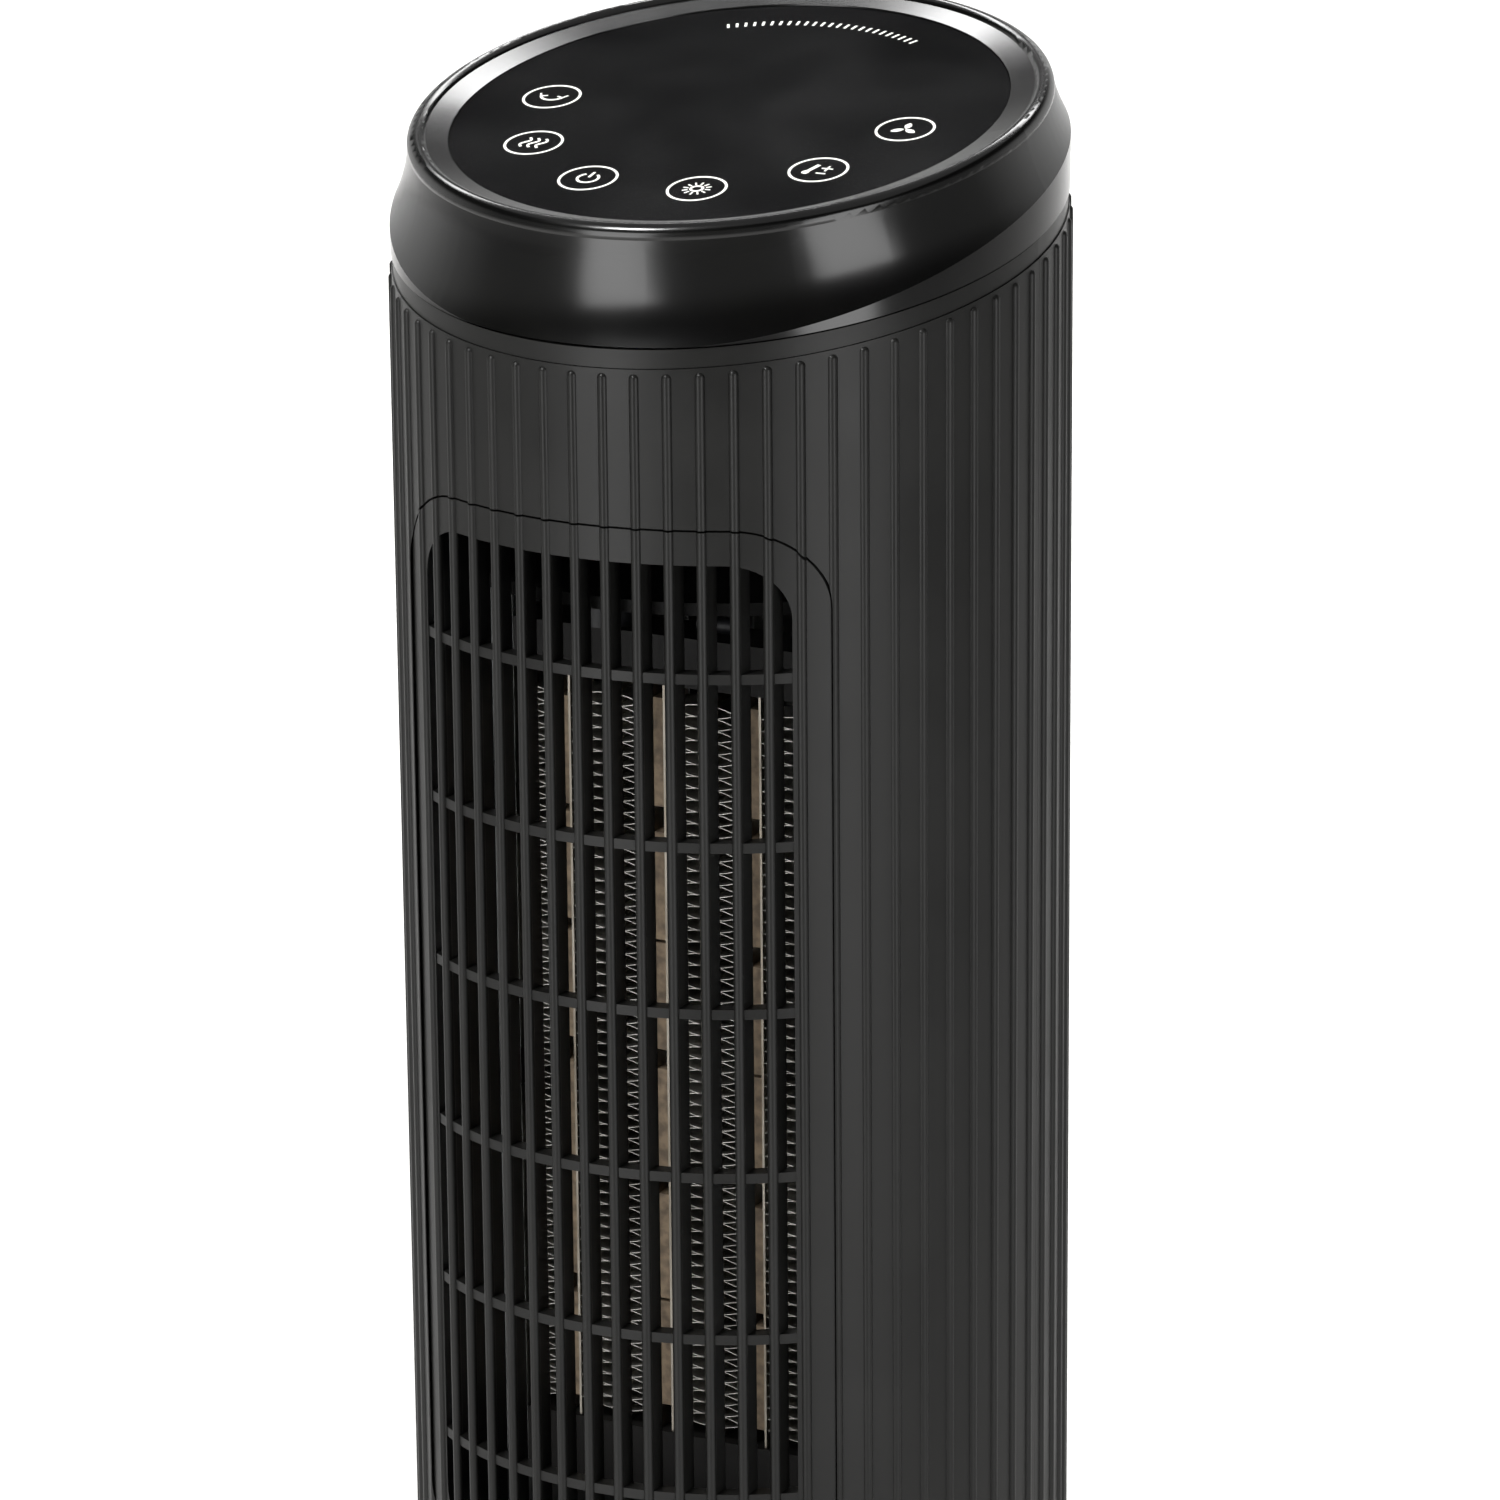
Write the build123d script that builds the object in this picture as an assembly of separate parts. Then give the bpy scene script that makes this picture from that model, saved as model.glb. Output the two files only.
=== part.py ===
from build123d import *
import math
import os

# Oscillating tower fan with a ceramic heater.  Millimetres, +Z up, the front faces -Y,
# the origin is on the floor at the centre of the round base.

# ---------------------------------------------------------------- tower shell
overall_height = 620.0      # floor to the rear crest of the sloping rim
body_r = 79.2               # smooth outside radius of the tower shell
shell_wall = 2.4
rib_count = 66              # raised beads round the shell
rib_width = 2.3
rib_proud = 0.8
top_slope = 0.2             # rise of the sloping top for each mm towards the rear
rib_end_gap = 1.0           # smooth shell above the bead ends
fit_gap = 0.2               # between parts of one body that only locate each other
seat_gap = 0.1              # between faces that bear on each other
screw_play = 0.1            # radial, between a screw's shank and its pilot hole
run_gap = 0.3               # between faces of bodies that move past each other
shaft_play = 0.08           # radial, shafts and pins in their bores

# ---------------------------------------------------------------- cap and control panel
collar_height = 4.4
collar_taper = 0.7
collar_tongue = 6.0         # reaches down inside the shell
collar_shelf_r = 66.0
cap_shadow = 0.6            # dark gap under the cap
cap_height = 25.4
cap_r = 79.4                # widest radius, just above the shadow gap
cap_wall = 2.5
rim_out_r = 75.6
rim_crest_r = 73.3
rim_in_r = 71.1
panel_r = 65.2
panel_thick = 2.4
panel_drop = 2.6            # panel face below the rim's crest
panel_ledge = 5.6           # width of the ledge that carries the panel
key_circle_r = 46.0
key_pitch_deg = 35.4
key_count = 6
cap_boss_r = 3.6
cap_boss_circle_r = 68.2

# ---------------------------------------------------------------- front grille and rear cover
grille_drop = 51.6          # bead ends at the axis down to the grille frame's top
grille_height = 269.0
grille_half_w = 54.2
grille_border = 7.0
grille_border_end = 7.8     # border at the top and the bottom
grille_corner = 19.0
grille_corner_in = 13.0
grille_gap = 0.5            # parting groove round the frame
grille_ledge = 3.2          # shell ledge behind the frame
grille_lip = 1.6            # wall round the opening
bar_depth = 5.0
cross_bar = 2.4
cross_pitch = 40.0
cross_count = 6
rear_cross_count = 13
rear_cross_pitch = 20.0
bar_reach = 7               # beads each side of the middle that the frame carries
filter_thick = 0.8

# ---------------------------------------------------------------- base
base_r = 110.0
base_wall = 2.5
base_height = 28.0
base_side_h = 14.0          # height of the upright side before the dome starts
base_flat_r = 86.0
base_top_wall = 3.0
base_lift = 2.0             # under the base plate
plate_thick = 3.0
foot_r = 9.0
foot_socket = 1.0           # how deep a foot sits in the base plate
foot_circle_r = 88.0
foot_count = 5
gland_z = 10.5
gland_bore_r = 3.6
gland_body_r = 5.2
gland_flange_r = 6.4

# ---------------------------------------------------------------- swivel and its drive
hub_r = 18.0
hub_wall = 3.5
sleeve_wall = 3.4
slip_ring_r = 68.0
slip_ring_width = 7.0
slip_ring_high = 3.2
slip_groove = 1.2
gear_module = 1.25
gear_teeth = 48
pinion_teeth = 16
gear_high = 8.0
gear_backlash = 0.22
pocket_r = 56.0
pocket_ceiling = 38.0
floor_thick = 3.0
drive_shaft_r = 2.5
osc_motor_r = 25.0
osc_motor_high = 19.0

# ---------------------------------------------------------------- heater and air duct
heater_front_y = -40.0
heater_depth = 12.0
heater_height = 185.0
heater_top_drop = 14.0      # under the first cross bar
module_pitch = 25.0
module_count = 3
stone_width = 3.1
stone_length = 26.5
stones_per_column = 6
strip_thick = 0.6
fin_width = 8.6
fin_pitch = 2.9
fin_metal = 0.3
rail_thick = 1.5
duct_wall = 2.0
duct_plate = 3.0
duct_above = 27.0           # heater top up to the duct's top plate
duct_below = 17.0

# ---------------------------------------------------------------- blower
impeller_y = 14.0
impeller_r = 31.0
impeller_blades = 24
blade_thick = 1.1
blade_depth = 7.0
impeller_end_gap = 12.0     # duct plate to impeller
impeller_disc = 2.2
blower_shaft_r = 3.0
motor_r = 29.0
motor_high = 34.0
motor_drop = 9.0            # rubber mounts between the duct plate and the motor

# ---------------------------------------------------------------- switch and boards
rocker_z = 92.0
rocker_w = 18.0
rocker_h = 12.2
rocker_tilt = 10.0
board_thick = 1.6

# ---------------------------------------------------------------- worked out from the above
far = 2 * overall_height    # longer than any cut has to reach
shell_in_r = body_r - shell_wall
rib_r = ((rib_width / 2) ** 2 + rib_proud ** 2) / (2 * rib_proud)
rib_axis_r = body_r + rib_proud - rib_r
rib_step = 360.0 / rib_count
crest_z = overall_height - top_slope * rim_crest_r
cap_z = crest_z - cap_height
collar_z = cap_z - cap_shadow - collar_height
rib_top_z = collar_z - rib_end_gap
tilt_deg = math.degrees(math.atan(top_slope))
# the two shells part midway between two beads, at the widest point
split_y = -body_r * math.cos(math.radians((rib_count // 4 + 0.5) * rib_step))

grille_z1 = rib_top_z - grille_drop
grille_z0 = grille_z1 - grille_height
grille_mid_z = (grille_z0 + grille_z1) / 2
grille_seat_r = shell_in_r + seat_gap
lip_r = body_r - bar_depth
first_bar_z = grille_mid_z + cross_pitch * (cross_count - 1) / 2

slip_z1 = base_height - slip_groove + slip_ring_high
tower_z0 = slip_z1 + 0.2
shell_z0 = tower_z0 + floor_thick + 0.3
gear_pitch_r = gear_module * gear_teeth / 2
pinion_pitch_r = gear_module * pinion_teeth / 2
pinion_y = gear_pitch_r + pinion_pitch_r + 0.1
hub_in_r = hub_r - hub_wall
retainer_z1 = base_lift + plate_thick + 7.0
pocket_top_z = pocket_ceiling + floor_thick

heater_z1 = first_bar_z - heater_top_drop
heater_z0 = heater_z1 - heater_height
duct_z1 = heater_z1 + duct_above
duct_z0 = heater_z0 - duct_below
module_width = 2 * fin_width + stone_width + 4 * strip_thick
rail_x = module_pitch * (module_count - 1) / 2 + module_width / 2 + 1.0
impeller_z0 = duct_z0 + impeller_end_gap
impeller_z1 = duct_z1 - impeller_end_gap
motor_z1 = duct_z0 - duct_plate - motor_drop
motor_z0 = motor_z1 - motor_high
screw_x = shell_in_r - 14.8
board_z0 = pocket_top_z + 9.0

PARTS = {}


# ---------------------------------------------------------------- helpers
def tube(r_out, r_in, z0, z1):
    """Upright ring between two heights; r_in of 0 gives a disc."""
    high = z1 - z0
    body = Pos(0, 0, (z0 + z1) / 2) * Cylinder(r_out, high)
    if r_in > 0:
        body -= Pos(0, 0, (z0 + z1) / 2) * Cylinder(r_in, high + 2)
    return body


def rod(x, y, r, z0, z1):
    return Pos(x, y, (z0 + z1) / 2) * Cylinder(r, z1 - z0)


def block(x0, x1, y0, y1, z0, z1):
    return Pos((x0 + x1) / 2, (y0 + y1) / 2, (z0 + z1) / 2) * Box(x1 - x0, y1 - y0, z1 - z0)


def y_rod(x, z, r, y0, y1):
    return Pos(x, (y0 + y1) / 2, z) * Rot(90, 0, 0) * Cylinder(r, y1 - y0)


def polar(r, degrees):
    """Point at a radius; 0 degrees is the front and angles grow towards +X."""
    a = math.radians(degrees)
    return r * math.sin(a), -r * math.cos(a)


def below_slope(z):
    """Large block under the sloping plane that crosses the axis at z."""
    return Pos(0, 0, z) * Rot(tilt_deg, 0, 0) * Pos(0, 0, -500) * Box(400, 400, 1000)


def turned(points):
    """Solid of revolution about Z from a closed run of (radius, height) points."""
    return revolve(Plane.XZ * make_face(Polyline(*points, close=True)), Axis.Z)


def screw(shank_r, length, head_r, head_h):
    """Screw on the origin: head from 0 down to -head_h, shank up to length."""
    return rod(0, 0, head_r, -head_h, 0) + rod(0, 0, shank_r, -head_h / 2, length)


def joined(first, others):
    for other in others:
        first += other
    return first


def keep(name, *shapes):
    PARTS[name] = [solid for shape in shapes for solid in shape.solids()]


# ---------------------------------------------------------------- ribbed shell
def window(half_w, z0, z1, corner):
    """Rounded-rectangle prism through the front wall, drawn along Y."""
    face = Plane.XZ * Pos(0, (z0 + z1) / 2) * RectangleRounded(2 * half_w, z1 - z0, corner)
    return extrude(face, 110)


def grille_window(grow, inner=False):
    """Outline of the grille frame, or of the opening in it, grown by so many mm."""
    if inner:
        return window(grille_half_w - grille_border + grow,
                      grille_z0 + grille_border_end - grow,
                      grille_z1 - grille_border_end + grow, grille_corner_in + grow)
    return window(grille_half_w + grow, grille_z0 - grow, grille_z1 + grow, grille_corner + grow)


def rib(index):
    """One bead: a round rod sunk in the shell, with a domed top end under the sloping collar."""
    x, y = polar(rib_axis_r, index * rib_step)
    top = rib_top_z + top_slope * y - rib_r
    return rod(x, y, rib_r, shell_z0, top) + Pos(x, y, top) * Sphere(rib_r)


def post_levels():
    return [shell_z0 + 34, grille_z0 - 22, grille_z1 + 16]


def corner_posts():
    return [polar(shell_in_r - 3.4, a) for a in (36, 144, 216, 324)]


def ribbed_shell():
    """Both halves as one tube, with its beads and the seats behind the two grilles."""
    body = tube(body_r, shell_in_r, shell_z0, overall_height) & below_slope(collar_z)
    body = joined(body, [rib(i) for i in range(rib_count)])
    for turn in (0, 180):
        place = Rot(0, 0, turn)
        pad = tube(body_r - 1, shell_in_r - shell_wall, grille_z0 - 4, grille_z1 + 4)
        body += place * (pad & grille_window(grille_gap + 2.5))
        groove = tube(body_r + 4, shell_in_r, grille_z0 - 4, grille_z1 + 4)
        body -= place * (groove & grille_window(grille_gap))
        body -= place * grille_window(-grille_ledge)
    return body


def housings():
    shell = ribbed_shell()
    front = shell & block(-far, far, -far, split_y - seat_gap / 2, 0, far)
    rear = shell & block(-far, far, split_y + seat_gap / 2, far, 0, far)
    screws = []
    inside = tube(shell_in_r + 1, 0, shell_z0, overall_height)
    pilot_r = 1.45 + screw_play
    for z in post_levels():
        for side in (-1, 1):
            x = side * screw_x
            front += y_rod(x, z, 4, -far, split_y - seat_gap / 2) & inside
            front -= y_rod(x, z, pilot_r, split_y - 16, split_y)
            rear += y_rod(x, z, 5, split_y + seat_gap / 2, far) & inside
            rear -= y_rod(x, z, pilot_r, split_y, split_y + 10)
            rear -= y_rod(x, z, 3.5, split_y + 8, far)
            screws.append(Pos(x, split_y + 8 + seat_gap, z) * Rot(90, 0, 0) * screw(1.45, 20, 3.2, 2.4))
    for x, y in corner_posts():
        post = rod(x, y, 4, shell_z0, shell_z0 + 24) & inside
        hole = rod(x, y, pilot_r, shell_z0 - 1, shell_z0 + 16)
        if y < split_y:
            front = front + post - hole
        else:
            rear = rear + post - hole
    pad_y = body_r + rib_proud + 0.2
    rear += block(-15, 15, shell_in_r - 3, pad_y, rocker_z - 12, rocker_z + 12)
    rear -= block(-rocker_w / 2 - 2.2, rocker_w / 2 + 2.2, shell_in_r - 17, far, rocker_z - 9, rocker_z + 9)
    keep("front_housing", front)
    keep("rear_housing", rear)
    keep("housing_screws", *screws)
    keep_rocker(pad_y)


def keep_rocker(pad_y):
    """Mains switch: a frame clipped in the rear shell and a rocker on two side pins."""
    half_w, half_h = rocker_w / 2, rocker_h / 2
    frame = block(-half_w - 4, half_w + 4, pad_y + seat_gap, pad_y + 1.7, rocker_z - 10.8, rocker_z + 10.8)
    frame += block(-half_w - 2, half_w + 2, pad_y - 14, pad_y + 1, rocker_z - 8.8, rocker_z + 8.8)
    frame -= block(-half_w - 0.35, half_w + 0.35, pad_y - 10, pad_y + 5,
                   rocker_z - half_h - 0.9, rocker_z + half_h + 0.9)
    pivot_y = pad_y - 2.4
    frame -= Pos(0, pivot_y, rocker_z) * Rot(0, 90, 0) * Cylinder(1 + shaft_play, rocker_w + 2.6)
    tabs = [block(x - 2.4, x + 2.4, pad_y - 22, pad_y - 14 - seat_gap, rocker_z - 0.4, rocker_z + 0.4)
            for x in (-6, 0, 6)]
    key = Pos(0, 0, 0) * Rot(0, 90, 0) * Cylinder(1, rocker_w + 2.0)
    # each half of the face slopes away from the ridge in the middle
    side = Polyline((-half_h, -3.4), (half_h, -3.4), (half_h, 3.4), (0, 1.9), (-half_h, 3.4), close=True)
    key += extrude(Plane.YZ * make_face(Rot(0, 0, 90) * side), rocker_w / 2, both=True)
    keep("rocker_frame", frame)
    keep("switch_terminals", *tabs)
    keep("rocker_button", Pos(0, pivot_y, rocker_z) * Rot(rocker_tilt, 0, 0) * key)


def grille(level_count, level_pitch):
    """Ribbed frame with upright bars that carry the shell's beads on, and curved cross bars."""
    outer = grille_window(0)
    opening = grille_window(0, True)
    frame = tube(body_r, grille_seat_r, grille_z0 - 1, grille_z1 + 1) & (outer - opening)
    lip_ring = grille_window(grille_lip, True) - opening
    frame += tube(body_r - 0.3, lip_r, grille_z0, grille_z1) & lip_ring
    reach = grille_window(0.8, True)
    for index in range(-bar_reach, bar_reach + 1):
        x, y = polar(rib_axis_r, index * rib_step)
        frame += rod(x, y, rib_r, grille_z0 - 1, grille_z1 + 1) & outer
        if abs(x) < grille_half_w - grille_border - 1:
            bar = block(x - rib_width / 2, x + rib_width / 2, y, y + bar_depth, grille_z0, grille_z1)
            frame += bar & reach
    for step in range(level_count):
        z = grille_mid_z + (step - (level_count - 1) / 2) * level_pitch
        hoop = tube(body_r - 0.2, body_r - 4, z - cross_bar / 2, z + cross_bar / 2)
        frame += hoop & reach
    return frame


def grilles():
    keep("front_grille", grille(cross_count, cross_pitch))
    keep("filter_cover", Rot(0, 0, 180) * grille(rear_cross_count, rear_cross_pitch))
    filter_r = body_r - bar_depth - 1.0
    sheet = tube(filter_r, filter_r - filter_thick, grille_z0, grille_z1)
    keep("dust_filter", Rot(0, 0, 180) * (sheet & grille_window(grille_lip - 0.4, True)))


# ---------------------------------------------------------------- sloping top
def slope_tube(r_out, r_in, z0, z1):
    """Upright ring whose two ends follow the sloping top; heights are those at the axis."""
    return (tube(r_out, r_in, z0 - 40, z1 + 40) & below_slope(z1)) - below_slope(z0)


def slope_rod(x, y, r, z0, z1):
    return (rod(x, y, r, z0 - 40, z1 + 40) & below_slope(z1)) - below_slope(z0)


def on_slope(x, y, z):
    """Place on the sloping plane that crosses the axis at z."""
    return Pos(x, y, z + top_slope * y) * Rot(tilt_deg, 0, 0)


def boss_places():
    return [polar(cap_boss_circle_r, a) for a in (30, 150, 210, 330)]


def collar():
    tongue_r = shell_in_r - fit_gap
    inner_r = tongue_r - 2.4
    z = collar_z + seat_gap
    top = collar_z + collar_height
    ring = slope_tube(body_r - collar_taper / 2, inner_r, z, top)
    ring += slope_tube(tongue_r, inner_r, z - collar_tongue, z + 1)
    ring += slope_tube(inner_r + 1, collar_shelf_r, z + 1, top)
    for x, y in boss_places():
        ring -= rod(x, y, 1.45 + screw_play, z - 40, top + 40)
    keep("collar_ring", ring)


def cap_levels():
    """Heights at the axis: panel face, ledge under the panel, underside of the ledge."""
    panel_z = cap_z + cap_height - panel_drop
    ledge_z = panel_z - panel_thick - seat_gap
    return panel_z, ledge_z, ledge_z - cap_wall


def tilted(outline):
    """Turn a half section about the axis of the sloping rim; its heights are from the crest."""
    return Pos(0, 0, crest_z) * Rot(tilt_deg, 0, 0) * revolve(Plane.XZ * outline, Axis.Z)


def flare(rim_r, top, foot_r):
    """Closed half section of a solid with the cap's hollow flare as its side."""
    low = -cap_height - 12
    hollow = ThreePointArc((foot_r, -cap_height), (rim_r + (foot_r - rim_r) * 0.3, -cap_height * 0.55),
                           (rim_r, top))
    return hollow, Polyline((0, low), (foot_r + 1, low), (foot_r, -cap_height))


def cap_body():
    """Flared cap, trimmed to the round plan of the tower, with its rim, bevel and hollow inside."""
    # the rim's axis leans back, so the flare's foot is wide enough to reach the front edge
    lean = cap_height * math.sin(math.radians(tilt_deg))
    foot_r = (cap_r + lean) / math.cos(math.radians(tilt_deg)) - 0.2
    hollow, low = flare(rim_out_r, -3.2, foot_r)
    rim = ThreePointArc((rim_out_r, -3.2), (rim_out_r - 0.65, -0.9), (rim_crest_r, 0))
    roll = ThreePointArc((rim_crest_r, 0), (rim_in_r + 0.7, -0.35), (rim_in_r, -1.1))
    seat_h = 0.2 - panel_drop
    inside = Polyline((rim_in_r, -1.1), (panel_r, seat_h), (0, seat_h), (0, -cap_height - 12))
    outer = tilted(make_face([low, hollow, rim, roll, inside]))
    outer = (outer & tube(cap_r, 0, 0, far)) - below_slope(cap_z)
    _, ledge_z, under_z = cap_levels()
    under = (under_z - crest_z) * math.cos(math.radians(tilt_deg))
    hollow, low = flare(rim_out_r - cap_wall, under, foot_r - cap_wall)
    room = tilted(make_face([low, hollow, Polyline((rim_out_r - cap_wall, under), (0, under),
                                                   (0, -cap_height - 12))]))
    outer -= room & tube(cap_r - cap_wall, 0, 0, far)
    outer -= rod(0, 0, panel_r + fit_gap, 0, far) - below_slope(ledge_z)
    return outer - rod(0, 0, panel_r - panel_ledge, 0, far)


def top_cap():
    panel_z, _, under_z = cap_levels()
    z_foot = collar_z + collar_height + seat_gap
    cap = cap_body()
    for x, y in boss_places():
        cap += slope_rod(x, y, cap_boss_r, z_foot, under_z + 1)
        cap -= rod(x, y, 1.45 + screw_play, z_foot - 20, z_foot + top_slope * y + 13)
    keep("top_cap", cap)
    keep("control_panel", slope_tube(panel_r, 0, panel_z - panel_thick, panel_z))
    shelf = collar_z + seat_gap + 1
    screws = []
    for x, y in boss_places():
        # the flat head bears on the low side of the sloping shelf
        head_z = shelf + top_slope * y - top_slope * 3 - seat_gap
        screws.append(Pos(x, y, head_z) * screw(1.45, 14, 3, 2))
    keep("cap_screws", *screws)
    panel_electronics(panel_z - panel_thick, under_z)


def panel_electronics(panel_under, ledge_under):
    """Board carrier, touch board, one contact spring for each key, and the display."""
    board_z1 = panel_under - 5.0
    board_z0 = board_z1 - board_thick
    wall_r = panel_r - panel_ledge - 0.5
    flange_z = ledge_under - seat_gap
    carrier = slope_tube(wall_r, 0, board_z0 - 5, board_z0 - 3)
    carrier += slope_tube(wall_r, wall_r - 2, board_z0 - 4, flange_z)
    carrier += slope_tube(wall_r - 1, wall_r - 5, board_z0 - 4, board_z0 - seat_gap)
    carrier += slope_tube(wall_r + 4.2, wall_r - 1, flange_z - 2.2, flange_z)
    keep("board_carrier", carrier)
    keep("control_board", slope_tube(wall_r - 2 - fit_gap, 0, board_z0, board_z1))
    springs = []
    for k in range(key_count):
        x, y = polar(key_circle_r, (k - (key_count - 1) / 2) * key_pitch_deg)
        sleeve = slope_rod(x, y, 4.5, board_z1 + seat_gap, panel_under - seat_gap)
        springs.append(sleeve - rod(x, y, 3.7, board_z1 - 60, panel_under + 60))
    keep("touch_springs", *springs)
    high = panel_under - board_z1 - 2 * seat_gap
    keep("display_module", on_slope(0, -2, board_z1) * block(-21, 21, -9, 9, 2 * seat_gap, high))
    keep("ir_receiver", on_slope(0, -23.5, board_z1) * block(-3, 3, -2.5, 2.5, seat_gap, 3.6))
    chips = [on_slope(x, y, board_z0) * block(-w, w, -d, d, -2.4, -seat_gap)
             for x, y, w, d in ((0, 20, 8, 6), (27, -1, 7, 5), (-29, -2, 5, 4))]
    keep("control_chips", *chips)


# ---------------------------------------------------------------- base
def base_outline():
    """Half section of the domed base cover with its wall."""
    t = base_wall
    arc_out = EllipticalCenterArc((base_flat_r, base_side_h), base_r - base_flat_r,
                                  base_height - base_side_h, start_angle=0, arc_size=90)
    arc_in = EllipticalCenterArc((base_flat_r, base_side_h), base_r - base_flat_r - t,
                                 base_height - base_side_h - base_top_wall, start_angle=0, arc_size=90)
    bottom = base_lift + 0.5
    sleeve_r = hub_r + 0.1
    out_edge = Line((base_r, bottom), (base_r, base_side_h))
    top_run = Polyline((base_flat_r, base_height), (sleeve_r, base_height),
                       (sleeve_r, retainer_z1 + run_gap), (sleeve_r + sleeve_wall, retainer_z1 + run_gap),
                       (sleeve_r + sleeve_wall, base_height - base_top_wall),
                       (base_flat_r, base_height - base_top_wall))
    in_edge = Polyline((base_r - t, base_side_h), (base_r - t, bottom), (base_r, bottom))
    return make_face([out_edge, arc_out, top_run, arc_in, in_edge])


def base_screw_angles():
    return [54 + 72 * k for k in range(foot_count)]


def gear_screw_angles():
    return [60, 180, 300]


def base_parts():
    cover = revolve(Plane.XZ * base_outline(), Axis.Z)
    plate_z1 = base_lift + plate_thick
    inner_top = base_height - base_top_wall
    boss_r = foot_circle_r - 16
    plate = tube(base_r - base_wall - fit_gap, 0, base_lift, plate_z1)
    screws = []
    for a in base_screw_angles():
        x, y = polar(boss_r, a)
        cover += rod(x, y, 4.5, plate_z1 + seat_gap, inner_top + 0.5)
        cover -= rod(x, y, 1.45 + screw_play, plate_z1, plate_z1 + 13)
        plate -= rod(x, y, 1.75, base_lift - 1, plate_z1 + 1)
        plate -= rod(x, y, 3.5, base_lift - 1, base_lift + 1.7)
        screws.append(Pos(x, y, base_lift + 1.7 - seat_gap) * screw(1.45, 11, 3.1, 1.5))
    gear_screw_r = hub_r + 6.6
    for a in gear_screw_angles():
        x, y = polar(gear_screw_r, a)
        cover += rod(x, y, 3.2, retainer_z1 + 3, inner_top + 0.5)
        cover -= rod(x, y, 1.2 + screw_play, retainer_z1 + 4, base_height + 1)
    groove_z = base_height - slip_groove
    cover -= tube(slip_ring_r + fit_gap, slip_ring_r - slip_ring_width - fit_gap, groove_z, base_height + 1)
    cover -= y_rod(0, gland_z, gland_body_r + seat_gap, base_r - 8, base_r + 2)
    feet = []
    for k in range(foot_count):
        x, y = polar(foot_circle_r, 72 * k + 18)
        plate -= rod(x, y, foot_r + seat_gap, base_lift - 1, base_lift + foot_socket)
        feet.append(rod(x, y, foot_r, 0, base_lift + foot_socket - 0.02))
    feet = [fillet(foot.edges().group_by(Axis.Z)[0], 0.8) for foot in feet]
    for a in range(0, 360, 15):
        x, y = polar(52, a)
        if a % 90:
            plate -= rod(x, y, 2.0, base_lift - 1, plate_z1 + 1)
    plate, switch_parts = tip_switch(plate, plate_z1)
    keep("rubber_feet", *feet)
    keep("base_plate", plate)
    keep("base_cover", cover)
    keep("base_screws", *screws)
    for name, shape in switch_parts.items():
        keep(name, shape)
    keep("slip_ring", tube(slip_ring_r, slip_ring_r - slip_ring_width, groove_z + 0.02, slip_z1))
    gland = y_rod(0, gland_z, gland_body_r, base_r - 7, base_r + 0.6)
    gland += y_rod(0, gland_z, gland_flange_r, base_r + seat_gap, base_r + 2.4)
    # the nut inside clears the base plate's edge
    gland += y_rod(0, gland_z, gland_body_r + 0.9, base_r - 7, base_r - base_wall - 0.6)
    gland -= tube(base_r, 0, base_lift, base_lift + plate_thick + seat_gap)
    gland -= y_rod(0, gland_z, gland_bore_r, base_r - 20, base_r + 20)
    keep("cord_gland", gland)


def tip_switch(plate, plate_z1):
    """Tip-over switch on the base plate; its plunger stands on the floor."""
    x, y = polar(66, 315)
    stem_r = 3.0
    collar_z0 = plate_z1 + 3.4
    body_z0 = collar_z0 + 1.8
    plate -= rod(x, y, stem_r + run_gap, 0, plate_z1 + 1)
    body = block(x - 6, x + 6, y - 11, y + 11, body_z0, body_z0 + 9)
    for dy in (-8.8, 8.8):
        body += block(x - 6, x + 6, y + dy - 2.2, y + dy + 2.2, plate_z1 + 0.05, body_z0 + 1)
    body -= rod(x, y, stem_r + shaft_play, body_z0 - 1, body_z0 + 7)
    stem = rod(x, y, stem_r, 0, body_z0 + 6.5) + rod(x, y, 4.4, collar_z0, collar_z0 + 1.5)
    return plate, {"tip_switch_body": body, "tip_plunger": stem}


# ---------------------------------------------------------------- swivel
def involute(angle):
    return math.tan(angle) - angle


def spur_gear(teeth, z0, z1, first_deg):
    """Involute spur gear at the origin, 20 degree pressure angle, backlash shared by the flanks."""
    pressure = math.radians(20)
    pitch_r = gear_module * teeth / 2
    root_r = pitch_r - 1.25 * gear_module
    tip_r = pitch_r + gear_module * 0.95
    base_circle = pitch_r * math.cos(pressure)
    half = math.pi / (2 * teeth) - gear_backlash / (4 * pitch_r) + involute(pressure)
    low = max(base_circle, root_r)
    flank = []
    for k in range(6):
        r = low + (tip_r - low) * k / 5
        flank.append((r, half - involute(math.acos(min(1, base_circle / r)))))
    points = []
    for tooth in range(teeth):
        mid = math.radians(first_deg) + 2 * math.pi * tooth / teeth
        side = [(root_r, mid - flank[0][1])] + [(r, mid - a) for r, a in flank]
        side += [(r, mid + a) for r, a in reversed(flank)] + [(root_r, mid + flank[0][1])]
        for r, a in side:
            point = (r * math.cos(a), r * math.sin(a))
            if not points or math.dist(point, points[-1]) > 0.01:
                points.append(point)
    return extrude(Pos(0, 0, z0) * make_face(Polyline(*points, close=True)), z1 - z0)


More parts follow.
